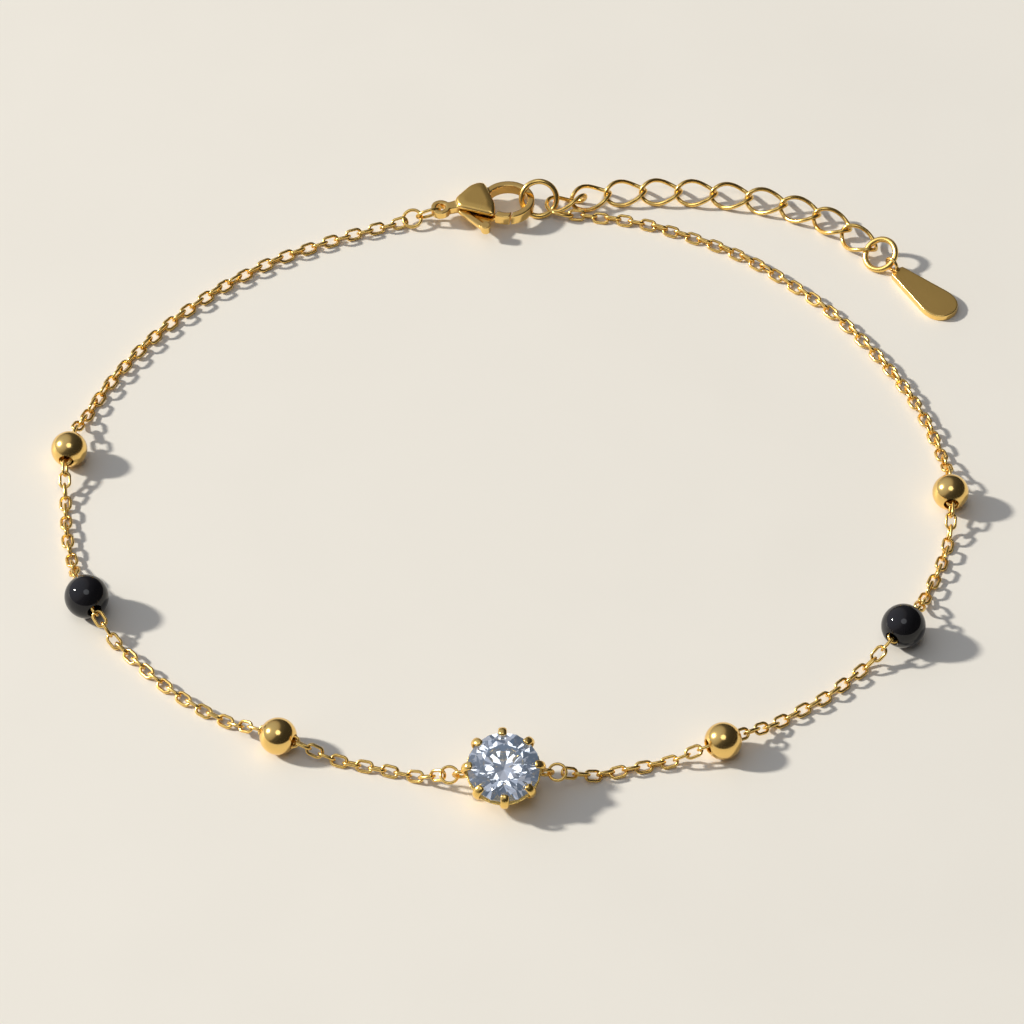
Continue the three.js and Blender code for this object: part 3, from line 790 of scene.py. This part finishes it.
# %% Rivet: a pin with broken edges
RIVET_EDGE = 0.03
RIVET_SIDES = 32
rivet_low, rivet_high = (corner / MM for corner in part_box("clasp_rivet"))
rivet_middle = (rivet_low + rivet_high) / 2
rivet_radius = (rivet_high.x - rivet_low.x) / 2
rivet_profile = [
    (rivet_low.z, rivet_radius - RIVET_EDGE),
    (rivet_low.z + RIVET_EDGE, rivet_radius),
    (rivet_high.z - RIVET_EDGE, rivet_radius),
    (rivet_high.z, rivet_radius - RIVET_EDGE),
]
rings = []
for height, radius in rivet_profile:
    corners = circle(radius, RIVET_SIDES)
    rings.append([Vector((rivet_middle.x + c.x, rivet_middle.y + c.y, height)) for c in corners])
bm = bmesh.new()
loft(bm, rings)
finished(bm, "turned_clasp_rivet", [polished_gold], "clasp_rivet")

# %% [markdown]
# ## The stone
# The stone keeps its CAD solid, a brilliant cut, because its facets are flat and sharp, as cut ones are.
# It only gets its finish, and flat shading, so that no facet is blended into the next.

# %% The stone's finish
stone = nodes["stone"]
stone.data.materials.clear()
stone.data.materials.append(white_stone)
stone.data.shade_flat()
print("stone facets:", len(stone.data.polygons))

# %% [markdown]
# ## The setting
# Eight flattened prongs rise from a small cup, bend over the girdle and end in rounded tips, and two
# eyes carry the jump rings. The shapes are made in the stone's own frame and tilted with it. The stone's
# lowest corner, its culet, is measured from the CAD, so the setting fits the stone wherever it lies.

# %% Sizes of the setting
STONE_RADIUS = 2.4
TABLE_RADIUS = 1.37
CROWN_HEIGHT = 0.75
GIRDLE = 0.12
PAVILION = 2.02
STONE_CLEARANCE = 0.04
PRONG_COUNT = 8
PRONG_WIDTH = 0.58
PRONG_THICKNESS = 0.28
PRONG_GRIP = 0.34
PRONG_BULGE = 0.04
CUP_HEIGHT = 2.3
CUP_BASE = 1.4
CUP_WALL = 0.3
CUP_RIM_DROP = 0.45
EYE_SIZE = 1.2
EYE_WIRE = 0.26
EYE_DROP = 1.2
EYE_SEAT = 0.22
EYE_REACH = STONE_RADIUS + EYE_SIZE / 2 - EYE_SEAT
SETTING_TILT = math.radians(20)
SETTING_TURN = math.radians(1.8)

# %% Where the stone sits
tilt = Matrix.Rotation(SETTING_TURN, 4, "Z") @ Matrix.Rotation(SETTING_TILT, 4, "X")
stone_axis = (tilt @ Vector((0, 0, 1))).normalized()
culet = min((v.co / MM for v in stone.data.vertices), key=lambda p: p.dot(stone_axis))
setting_frame = Matrix.Translation(culet + stone_axis * (GIRDLE / 2 + PAVILION)) @ tilt
print("girdle middle at", tuple(round(c, 3) for c in setting_frame.translation))

# %% The route of a prong, from the cup's base to its tip on the crown
PRONG_FOOT = 0.4
PRONG_WAIST = 0.55
PRONG_SHOULDER = 0.8
PRONG_STEPS = 8
half_prong = PRONG_THICKNESS / 2
outside = STONE_RADIUS + half_prong + STONE_CLEARANCE
crown_slope = math.atan2(CROWN_HEIGHT, STONE_RADIUS - TABLE_RADIUS)
reach = half_prong + STONE_CLEARANCE
tip_out = STONE_RADIUS - PRONG_GRIP + reach * math.sin(crown_slope)
tip_up = GIRDLE / 2 + PRONG_GRIP * math.tan(crown_slope) + reach * math.cos(crown_slope)
prong_route = [
    Vector((CUP_BASE - CUP_WALL / 2, 0, -CUP_HEIGHT + half_prong * PRONG_FOOT)),
    Vector(((CUP_BASE + outside) / 2, 0, -CUP_HEIGHT * PRONG_WAIST)),
    Vector((outside, 0, -CUP_RIM_DROP)),
    Vector((outside + PRONG_BULGE, 0, GIRDLE / 2)),
    Vector(((outside + tip_out) / 2 + PRONG_BULGE, 0, tip_up * PRONG_SHOULDER)),
    Vector((tip_out, 0, tip_up)),
]
prong_path = smooth_path(prong_route, PRONG_STEPS)
last_run = (prong_path[-1] - prong_path[-2]).normalized()
print("a prong's tip is", round(tip_up, 3), "mm above the girdle's middle")

# %% One prong
PRONG_SIDES = 24
TIP_TURNS = [16, 32, 48, 64, 80]


def prong_ring(here, run, share):
    """A section of a prong, wide across and thin outwards, at a share of its full size."""
    side = Vector((0, 1, 0))
    up = run.cross(side)
    ring = []
    for c in circle(share, PRONG_SIDES):
        ring.append(here + side * (c.x * PRONG_WIDTH / 2) + up * (c.y * PRONG_THICKNESS / 2))
    return ring


def prong(bm, angle):
    """One prong: a flattened wire along the route, with a round end."""
    rings = []
    for i, here in enumerate(prong_path):
        after = prong_path[min(i + 1, len(prong_path) - 1)]
        before = prong_path[max(i - 1, 0)]
        rings.append(prong_ring(here, (after - before).normalized(), 1))
    for degrees in TIP_TURNS:
        turn = math.radians(degrees)
        here = prong_path[-1] + last_run * (half_prong * math.sin(turn))
        rings.append(prong_ring(here, last_run, math.cos(turn)))
    spin = Matrix.Rotation(angle, 3, "Z")
    loft(bm, [[spin @ p for p in ring] for ring in rings])


# %% An upright eye of wire, for the setting and for the tag


def upright_eye(bm, size, thickness, place):
    """A ring of round wire that stands in the XZ plane, at a place."""
    path, _ = oval_path(size - thickness, size - thickness)
    stand = Matrix.Translation(place) @ Matrix.Rotation(math.pi / 2, 4, "X")
    wire(bm, [stand @ p for p in path], [Vector((0, 1, 0))] * len(path), thickness / 2, WIRE_SIDES)


# %% Cup, prongs and eyes in one casting
CUP_SIDES = 96
CUP_OVERLAP = 0.6
SETTING_VOXEL = 0.045
SETTING_WEAR = 6
rim = outside - half_prong * CUP_OVERLAP
cup = [
    (CUP_BASE, -CUP_HEIGHT),
    (rim, -CUP_RIM_DROP),
    (rim - CUP_WALL, -CUP_RIM_DROP),
    (CUP_BASE - CUP_WALL, -CUP_HEIGHT),
]
bm = bmesh.new()
loft(bm, [[Vector((r * c.x, r * c.y, z)) for r, z in cup] for c in circle(1, CUP_SIDES)], closed=True)
for i in range(PRONG_COUNT):
    prong(bm, i * 2 * math.pi / PRONG_COUNT)
for side in (-1, 1):
    upright_eye(bm, EYE_SIZE, EYE_WIRE, (side * EYE_REACH, 0, -EYE_DROP))
bm.transform(setting_frame)
placed(tumbled(bm, SETTING_VOXEL, SETTING_WEAR), "cast_setting", [drawn_gold], "setting")

# %% [markdown]
# ## The tag
# The tag is a flat drop, stamped from sheet, with an upright eye soldered to its narrow end. Its faces
# are brushed and its edge is polished. Its outline is one curve, mirrored, because a stamp is even on
# both sides. The CAD tag gives its place: its direction is the way from the ring to its far end.

# %% The drop's outline
TAG_LENGTH = 5.65
TAG_HALF_WIDTH = 1.275
TAG_HALF_NECK = 0.55
TAG_THICKNESS = 0.5
TAG_END_STEPS = 25
# Shares of the length and the half width: the shoulder, two handles and the tip of the wide end
TAG_END = [(0.66, 0.96), (0.86, 1.12), (1, 0.7), (1, 0)]
# How far the neck bulges towards the eye, and the share of its half width there
TAG_NECK = [(0, 1), (0.09, 0.5), (0.125, 0), (0.09, -0.5), (0, -1)]


def tag_outline():
    """The drop's outline, from one shoulder round its wide end and its neck, as short chords."""
    end = [Vector((TAG_LENGTH * far, -TAG_HALF_WIDTH * wide, 0)) for far, wide in TAG_END]
    low = interpolate_bezier(*end, TAG_END_STEPS)
    high = [Vector((p.x, -p.y, 0)) for p in low[-2::-1]]
    neck = [Vector((-bulge, TAG_HALF_NECK * share, 0)) for bulge, share in TAG_NECK]
    return list(low) + high + neck


# %% Where the tag lies: its direction, and the middle of its neck
FACE_SLACK = 0.01
tag_lie = lie_of("tag")
tag_run = Vector((tag_lie.col[0].x, tag_lie.col[0].y, 0)).normalized()
tag_points = [v.co / MM for v in nodes["tag"].data.vertices]
ring_side = (middle_of("tag_ring") - middle_of("tag")).dot(tag_run)
tag_run = -tag_run if ring_side > 0 else tag_run
far_end = max(tag_points, key=lambda p: p.dot(tag_run))
tag_across = Vector((-tag_run.y, tag_run.x, 0))
offsets = [p.dot(tag_across) for p in tag_points if p.z < TAG_THICKNESS + FACE_SLACK]
tag_turn = Matrix((tag_run, tag_across, Vector((0, 0, 1)))).transposed()
tag_middle = tag_across * (max(offsets) + min(offsets)) / 2
tag_start = tag_run * (far_end.dot(tag_run) - TAG_LENGTH) + tag_middle
print("the tag points along", tuple(round(c, 3) for c in tag_run))

# %% The tag: its plate and its eye in one piece
TAG_EYE = 1.26
TAG_EYE_WIRE = 0.26
TAG_EYE_SEAT = 0.1
TAG_VOXEL = 0.04
TAG_WEAR = 9
TAG_FLATNESS = 0.97
outline = tag_outline()
bm = bmesh.new()
loft(bm, [[p + Vector((0, 0, height)) for p in outline] for height in (0, TAG_THICKNESS)])
upright_eye(bm, TAG_EYE, TAG_EYE_WIRE, (-TAG_EYE / 2 + TAG_EYE_SEAT, 0, TAG_EYE / 2))
bm.transform(Matrix.Translation(tag_start) @ tag_turn.to_4x4())
tag_mesh = tumbled(bm, TAG_VOXEL, TAG_WEAR)
placed(tag_mesh, "cast_tag", [polished_gold, satin_gold], "tag")
for face in tag_mesh.polygons:
    if abs(face.normal.z) > TAG_FLATNESS and face.center.z < (TAG_THICKNESS + FACE_SLACK) * MM:
        face.material_index = 1

# %% [markdown]
# ## Floor and light
# The bracelet lies on a plain pale surface. One round lamp stands low on the left, so that each wire has
# a bright dot or line and throws a soft shadow to the right. A second lamp, broad and dim, hangs high in
# front, where the stone's facets can catch it. A broad window on the left at the back fills the shadows a
# little, and the darker room around it gives the gold and the beads something to reflect.

# %% The floor
FLOOR_SIZE = 0.9
floor_finish, tree, shader, place = new_finish("pale surface")
tone = use_group(
    tree, plating, place, Thick=(0.88, 0.845, 0.755, 1), Thin=(0.85, 0.815, 0.725, 1), Drift_Scale=70.0
)
marked = use_group(
    tree, polish, place, Sharpest=0.55, Dullest=0.7, Patch_Scale=90.0, Line_Scale=2500.0
)
tree.links.new(tone.outputs["Color"], shader.inputs["Base Color"])
tree.links.new(marked.outputs["Roughness"], shader.inputs["Roughness"])
bm = bmesh.new()
bmesh.ops.create_grid(bm, x_segments=2, y_segments=2, size=FLOOR_SIZE / 2)
floor_mesh = bpy.data.meshes.new("floor")
bm.to_mesh(floor_mesh)
bm.free()
floor_mesh.materials.append(floor_finish)
floor = bpy.data.objects.new("floor", floor_mesh)
scene.collection.objects.link(floor)
print("the floor is", FLOOR_SIZE, "m wide")

# %% The lights


def round_light(name, azimuth, elevation, distance, size, power, colour):
    """A round light that looks at the bracelet from a direction."""
    panel = bpy.data.lights.new(name, "AREA")
    panel.shape = "DISK"
    panel.size = size
    panel.energy = power
    panel.color = colour
    turn = math.radians(azimuth)
    rise = math.radians(elevation)
    way = Vector((math.sin(turn) * math.cos(rise), -math.cos(turn) * math.cos(rise), math.sin(rise)))
    aimed(bpy.data.objects.new(name, panel), way * distance, Vector((0, 0, 0)))


round_light(
    "key", azimuth=-100, elevation=32, distance=2.2, size=0.17, power=57, colour=(1, 0.96, 0.9)
)
round_light(
    "over", azimuth=0, elevation=72, distance=1.0, size=0.5, power=1.0, colour=(0.92, 0.96, 1)
)

# %% The room: dark all round, with a broad pale window on the left at the back
WINDOW_WAY = (-0.74, 0.22, 0.64)
ROOM_TONES = [
    (0.0, (0.05, 0.045, 0.04, 1)),
    (0.5, (0.07, 0.07, 0.075, 1)),
    (0.72, (0.14, 0.14, 0.16, 1)),
    (0.8, (0.6, 0.58, 0.6, 1)),
    (0.9, (0.74, 0.78, 0.9, 1)),
    (1.0, (0.8, 0.86, 1, 1)),
]
ROOM_STRENGTH = 0.62
room = bpy.data.worlds.new("room")
room.use_nodes = True
tree = room.node_tree
around = tree.nodes.new("ShaderNodeTexCoord").outputs["Generated"]
towards = tree.nodes.new("ShaderNodeVectorMath")
towards.operation = "DOT_PRODUCT"
towards.inputs[1].default_value = WINDOW_WAY
tree.links.new(around, towards.inputs[0])
share = tree.nodes.new("ShaderNodeMapRange")
share.inputs["From Min"].default_value = -1
tree.links.new(towards.outputs["Value"], share.inputs["Value"])
ramp = tree.nodes.new("ShaderNodeValToRGB")
tree.links.new(share.outputs["Result"], ramp.inputs["Fac"])
tones = ramp.color_ramp.elements
for turned, tone in ROOM_TONES[1:-1]:
    tones.new(turned).color = tone
tones[0].color = ROOM_TONES[0][1]
tones[-1].color = ROOM_TONES[-1][1]
tree.links.new(ramp.outputs["Color"], tree.nodes["Background"].inputs["Color"])
tree.nodes["Background"].inputs["Strength"].default_value = ROOM_STRENGTH
scene.world = room
scene.view_settings.view_transform = "Standard"
print("the room has", len(tones), "tones, from behind the window to its middle")
